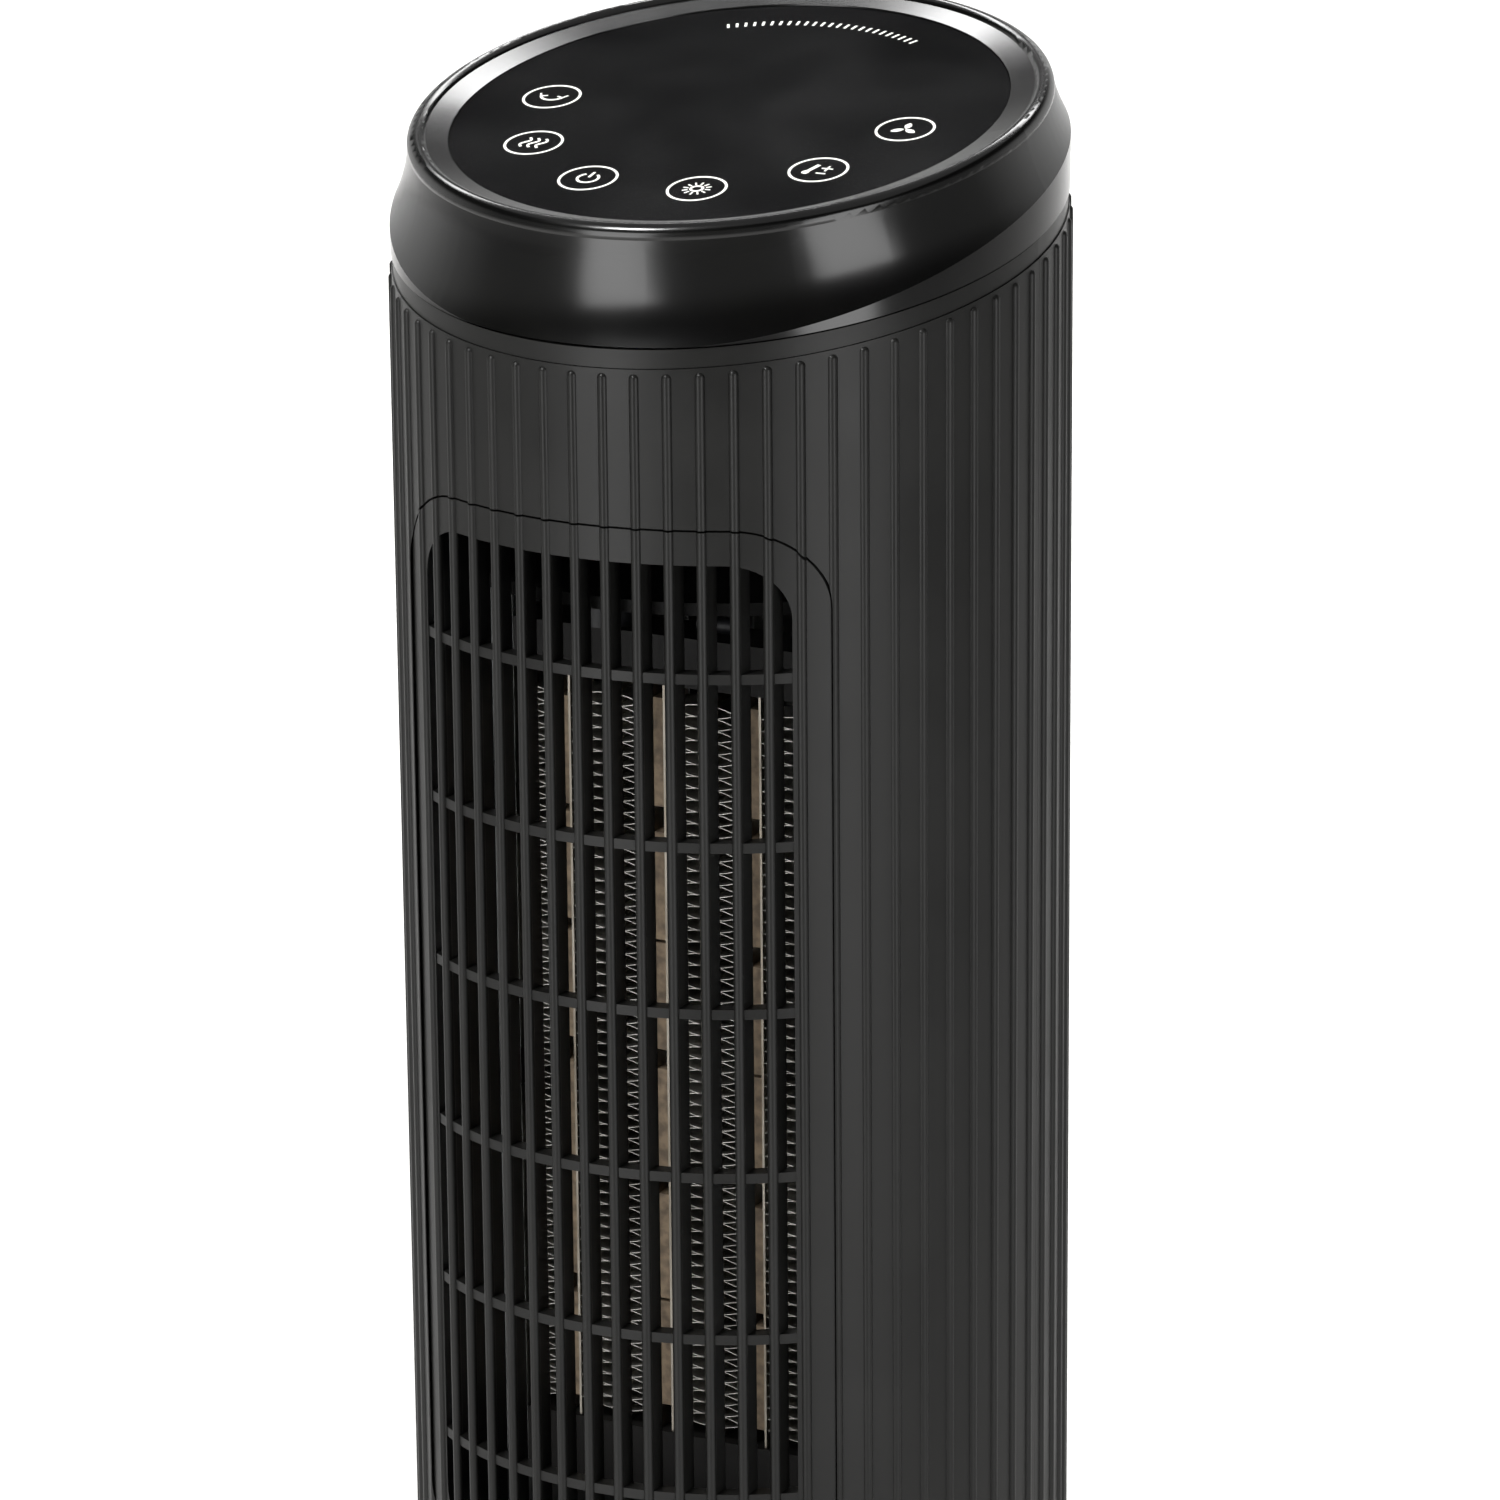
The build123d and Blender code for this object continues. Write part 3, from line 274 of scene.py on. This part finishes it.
def arcPoints(radius, start, end, count=24, centre=(0, 0)):
    # points on an arc, angles in degrees anticlockwise from the right
    a = np.radians(np.linspace(start, end, count))
    return np.column_stack([centre[0] + radius * np.cos(a), centre[1] + radius * np.sin(a)])


def linePoints(a, b, count=2):
    return np.linspace(a, b, count)


def leafStroke(a, b, widest):
    # a straight stroke whose width swells as the sine of the way along it
    t = np.linspace(0, 1, 12)
    return np.linspace(a, b, 12), 0.15 + widest * np.sin(np.pi * t) ** 0.8


def glyphs(line):
    # the six key signs, each a list of (points, width), about 7 mm across, their tops to the rear
    thin = line * 0.75
    turn = [(arcPoints(3.1, 205, 335, centre=(0, 1.2)), line)]
    for x in (-1, 1):
        turn += [(linePoints((x * 2.8, -0.1), (x * 3.6, 1.4)), thin),
                 (linePoints((x * 2.8, -0.1), (x * 1.3, 0.5)), thin)]
    wave = np.linspace(-2.6, 2.6, 20)
    heat = [(np.column_stack([x + 0.75 * np.sin(wave * 1.25), wave]), line) for x in (-2.1, 0, 2.1)]
    power = [(arcPoints(2.5, 125, 415, 30), line), (linePoints((0, 0.5), (0, 3.4)), line)]
    sun = [(arcPoints(1.4, 0, 360, 24), line)]
    for a in np.radians(np.arange(0, 360, 30)):
        ray = np.array([np.cos(a), np.sin(a)])
        sun.append((linePoints(ray * 2.1, ray * 3.4), thin * 0.9))
    warmth = [(linePoints((-2.2, -1.4), (-1.0, 2.6)), 1.0), leafStroke((-3.2, -2.4), (-1.6, -1.4), 1.7),
              (linePoints((0.4, 1.0), (3.2, 1.0)), thin), (linePoints((1.8, -0.4), (1.8, 2.4)), thin),
              (linePoints((0.2, -1.8), (2.6, -1.8)), thin)]
    blades = []
    for a in np.radians((80, 200, 320)):
        out = np.array([np.cos(a), np.sin(a)])
        blades.append(leafStroke(out * 0.3, out * 3.3 + np.array([-out[1], out[0]]) * 0.8, 1.5))
    return [turn, heat, power, sun, warmth, blades]


def printPanel():
    line = printing["lineWidth"]
    strokes = []
    for index, sign in enumerate(glyphs(line)):
        angle = math.radians((index - 2.5) * printing["keyPitch"])
        key = printing["keyRing"] * np.array([math.sin(angle), -math.cos(angle)])
        strokes.append((arcPoints(printing["ringRadius"], 0, 357, 72, key), line, True))
        strokes += [(points + key, width, False) for points, width in sign]
    count = printing["tickCount"]
    for a in np.radians(np.linspace(-1, 1, count) * printing["tickHalfAngle"]):
        out = np.array([math.sin(a), math.cos(a)])
        r = printing["tickRadius"]
        high = printing["tickHeight"]
        strokes.append((linePoints(out * (r - high / 2), out * (r + high / 2)), line, False))
    verts, faces = gathered([inkStroke(*stroke) for stroke in strokes])
    ink = meshObject("panelPrint", verts, faces, materials["printed_white"], "tower", smooth=False)


printPanel()
print("panel print made")


# corrugated foil fins of the heater, sizes in mm
finPack = {
    "module": 25.0,        # from stone column to stone column
    "offset": 6.45,        # stone column's middle to the fins' middle
    "width": 8.5,          # fold to fold
    "foldStep": 1.45,      # height from run to run
    "metal": 0.16,
    "level": 0.145,        # how level the runs lie: 0 is a zigzag, 0.16 is flat
    "sharpness": 0.97,     # of the folds: 1 is a crease
    "footGap": 0.3,
    "perRun": 10,          # points along one run
}


def finStrips():
    # a rounded triangle wave across, x = A asin(k sin(pi t)), climbing in soft steps,
    # z = step (t + level sin(2 pi t)), so the runs lie nearly level and the folds stand upright
    low, high = (np.array(corner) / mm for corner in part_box("heater_fins"))
    step = finPack["foldStep"]
    runs = int((high[2] - low[2]) / step) - 1
    t = np.linspace(0.5, runs + 0.5, runs * finPack["perRun"] + 1)
    sharp = finPack["sharpness"]
    swing = np.arcsin(sharp * np.sin(np.pi * t)) / math.asin(sharp)
    reach = (finPack["width"] - finPack["metal"]) / 2
    z = low[2] + step * (t + finPack["level"] * np.sin(2 * np.pi * t)) + finPack["footGap"]
    strips = []
    for column in (-1, 0, 1):
        for side in (-1, 1):
            x = column * finPack["module"] + side * finPack["offset"] + side * swing * reach
            strips.append(flatBand(np.column_stack([x, z]), finPack["metal"], (low[1], high[1]),
                                   lambda u, v, level: np.stack([u, level, v], -1)))
    fins = meshObject("heaterFinPack", *gathered(strips), materials["fin_aluminium"], "tower", smooth=False)
    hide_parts("heater_fins")


finStrips()
print("heater fins made")


# woven netting of the rear filter, sizes in mm
netting = {
    "pitch": 2.4,        # between threads
    "thread": 0.22,      # thread radius
    "weave": 0.16,       # how far a thread swings over and under
    "edge": 1.2,         # from the filter's outline in to the outermost thread
    "borderHalf": (0.35, 0.9),   # half the border's thickness and half its width
}


def threadTubes(paths, sideA, sideB, radius, corners=5):
    # each path carries a round section: centre + radius (cos of the turn x sideA + sin of it x sideB)
    turn = np.linspace(0, 2 * np.pi, corners, endpoint=False)
    section = (np.cos(turn)[:, None] * sideA[..., None, :] + np.sin(turn)[:, None] * sideB[..., None, :])
    verts = paths[:, :, None, :] + radius * section
    count, stations = paths.shape[:2]
    faces = []
    for k in range(count):
        start = k * stations * corners
        faces += gridFaces(stations, corners, False, True, start).tolist()
        last = start + (stations - 1) * corners
        faces += [[start + c for c in range(corners)][::-1], [last + c for c in range(corners)]]
    return verts.reshape(-1, 3), faces


def filterNet():
    # two sets of threads on the filter's cylinder, each a cosine over and under the other set
    low, high = (np.array(corner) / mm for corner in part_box("dust_filter"))
    radius = high[1] - (high[1] - math.hypot(low[0], low[1])) / 2
    edge = netting["edge"]
    halfAngle = math.asin(high[0] / radius) - edge / radius
    pitch = netting["pitch"]
    across = 2 * int(halfAngle * radius / pitch) + 1
    upward = int((high[2] - low[2] - 2 * edge) / pitch) + 1
    angle = np.linspace(-halfAngle, halfAngle, across)
    height = np.linspace(low[2] + edge, high[2] - edge, upward)
    i, j = np.meshgrid(np.arange(across), np.arange(upward), indexing="ij")
    swing = netting["weave"] * np.where((i + j) % 2, 1, -1)

    def onCylinder(a, z, r):
        return np.stack([r * np.sin(a), r * np.cos(a), z], -1)

    a, z = np.meshgrid(angle, height, indexing="ij")
    out = onCylinder(a, np.zeros_like(z), 1.0)
    aroundWay = np.stack([np.cos(a), -np.sin(a), np.zeros_like(a)], -1)
    up = np.broadcast_to([0.0, 0.0, 1.0], out.shape)
    tall = threadTubes(onCylinder(a, z, radius + swing), out, aroundWay, netting["thread"])
    swap = (1, 0, 2)
    wide = threadTubes(onCylinder(a, z, radius - swing).transpose(swap), up.transpose(swap),
                       out.transpose(swap), netting["thread"])
    # a plain moulded border closes the net: a square section carried round the sheet's four edges
    borderPath = np.concatenate([
        np.column_stack([np.linspace(-halfAngle, halfAngle, 40), np.full(40, height[0])]),
        np.column_stack([np.full(2, halfAngle), height[[0, -1]]])[1:],
        np.column_stack([np.linspace(halfAngle, -halfAngle, 40), np.full(40, height[-1])])[1:]])
    rims = []
    thick, wideHalf = netting["borderHalf"]
    for dr, dz in ((-thick, -wideHalf), (thick, -wideHalf), (thick, wideHalf), (-thick, wideHalf)):
        grow = np.sign(borderPath[:, 1] - height.mean()) * -dz
        turnIn = np.sign(borderPath[:, 0]) * dz / radius
        edgeOn = np.abs(np.abs(borderPath[:, 0]) - halfAngle) < 1e-9
        rims.append(onCylinder(borderPath[:, 0] + np.where(edgeOn, -turnIn, 0), borderPath[:, 1] + grow,
                               radius + dr))
    rims = np.stack(rims, 1)
    border = outward(rims.reshape(-1, 3), gridFaces(len(rims), 4, True, True).tolist())
    net = meshObject("filterNet", *gathered([tall, wide, border]), materials["filter_mesh"], "rear_cover")
    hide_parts("dust_filter")


filterNet()
print("filter net made")


# floor, surroundings and camera
studio = {
    "floorSize": 7.6,           # m
    "floorColour": "F4F3F1",
    "horizonFront": "868685",   # walls behind the camera
    "horizonRear": "F2F2F1",    # walls behind the object
    "ceiling": "232323",        # dark above, which keeps the panel black
    "cameraAzimuth": 27.0,      # degrees round from the front towards +X
    "cameraAway": 1567.9,       # mm from the tower's axis
    "cameraHeight": 918.24,
    "cameraYaw": 0.13,
    "cameraPitch": 16.708,
    "cameraRoll": -0.504,
    "lens": 164.54,
}


def makeFloor():
    half = studio["floorSize"] / 2 / mm
    mesh = bpy.data.meshes.new("studioFloor")
    corners = [(-half, -half, 0), (half, -half, 0), (half, half, 0), (-half, half, 0)]
    mesh.from_pydata([[c * mm for c in corner] for corner in corners], [], [[0, 1, 2, 3]])
    # painted studio floor: pale, flat, faintly uneven
    mesh.materials.append(makeFinish("matt white floor paint", (studio["floorColour"], "FAF9F8"),
                                     (0.75, 0.85), 2.0, 0.02, mottle=400.0, ior=1.45))
    floor = bpy.data.objects.new("studioFloor", mesh)
    bpy.context.scene.collection.objects.link(floor)


def makeWorld():
    # walls from pale behind the object to grey behind the camera, under a dark ceiling
    world = bpy.data.worlds.new("studio")
    bpy.context.scene.world = world
    world.use_nodes = True
    tree = world.node_tree
    tree.nodes.clear()
    place = addNode(tree, "ShaderNodeTexCoord")
    azimuth = math.radians(studio["cameraAzimuth"])
    turned = addNode(tree, "ShaderNodeMapping", {"Rotation": (0, 0, -azimuth)},
                     {"Vector": (place, "Generated")})
    split = addNode(tree, "ShaderNodeSeparateXYZ", links={"Vector": (turned, "Vector")})
    walls = rampNode(tree, split, "Y", (0.0, 0.55), (studio["horizonFront"], studio["horizonRear"]))
    height = addNode(tree, "ShaderNodeMapRange", {"interpolation_type": "SMOOTHSTEP", "From Min": 0.22,
                     "From Max": 0.50}, {"Value": (split, "Z")})
    shade = addNode(tree, "ShaderNodeMixRGB", {"Color2": linearColour(studio["ceiling"])},
                    {"Fac": (height, "Result"), "Color1": (walls, "Color")})
    glow = addNode(tree, "ShaderNodeBackground", {"Strength": 1.0}, {"Color": (shade, "Color")})
    addNode(tree, "ShaderNodeOutputWorld", links={"Surface": (glow, "Background")})


# each light: degrees round from the camera, distance and height of its middle, size, watts
lights = {
    "leftStrip": dict(turn=-41, away=1.5, height=0.52, size=(0.62, 1.04), power=9.0),
    "rightStrip": dict(turn=35, away=1.5, height=0.52, size=(0.70, 1.04), power=9.5),
    "topSoftbox": dict(turn=-50, away=1.1, height=1.9, size=(0.32, 0.32), power=24),
    "overhead": dict(turn=0, away=0.01, height=3.6, size=(5.0, 5.0), power=30),
    "rearWash": dict(turn=180, away=2.2, height=2.6, size=(2.6, 1.4), power=150, aim=(180, 3.4)),
}


def makeLight(name, turn, away, height, size, power, aim=None):
    azimuth = math.radians(studio["cameraAzimuth"] + turn)
    spot = Vector((math.sin(azimuth) * away, -math.cos(azimuth) * away, height))
    target = Vector((0, 0, min(height, 0.45)))
    if aim:
        aimAzimuth = math.radians(studio["cameraAzimuth"] + aim[0])
        target = Vector((math.sin(aimAzimuth) * aim[1], -math.cos(aimAzimuth) * aim[1], 0))
    data = bpy.data.lights.new(name, "AREA")
    data.shape = "RECTANGLE"
    data.size, data.size_y = size
    data.energy = power
    lamp = bpy.data.objects.new(name, data)
    lamp.location = spot
    lamp.rotation_euler = (target - spot).to_track_quat("-Z", "Y").to_euler()
    bpy.context.scene.collection.objects.link(lamp)


def makeCamera():
    # turned about its own axes from a level view along +Y, then about the tower's axis
    yaw, pitch, roll, azimuth = (math.radians(studio["camera" + k]) for k in
                                 ("Yaw", "Pitch", "Roll", "Azimuth"))
    ahead = Vector((math.sin(yaw) * math.cos(pitch), math.cos(yaw) * math.cos(pitch), -math.sin(pitch)))
    right = Vector((math.cos(yaw), -math.sin(yaw), 0))
    up = right.cross(ahead)
    rightRolled = right * math.cos(roll) + up * math.sin(roll)
    upRolled = up * math.cos(roll) - right * math.sin(roll)
    axes = Matrix((rightRolled, upRolled, -ahead)).transposed().to_4x4()
    spot = Vector((0, -studio["cameraAway"] * mm, studio["cameraHeight"] * mm))
    data = bpy.data.cameras.new("camera")
    data.lens = studio["lens"]
    data.sensor_width = 36
    data.clip_start, data.clip_end = 0.05, 60
    camera = bpy.data.objects.new("camera", data)
    camera.matrix_world = Matrix.Rotation(azimuth, 4, "Z") @ (Matrix.Translation(spot) @ axes)
    bpy.context.scene.collection.objects.link(camera)
    bpy.context.scene.camera = camera


makeFloor()
makeWorld()
for name, values in lights.items():
    makeLight(name, **values)
makeCamera()
bpy.context.scene.view_settings.view_transform = "Standard"
print("studio made")
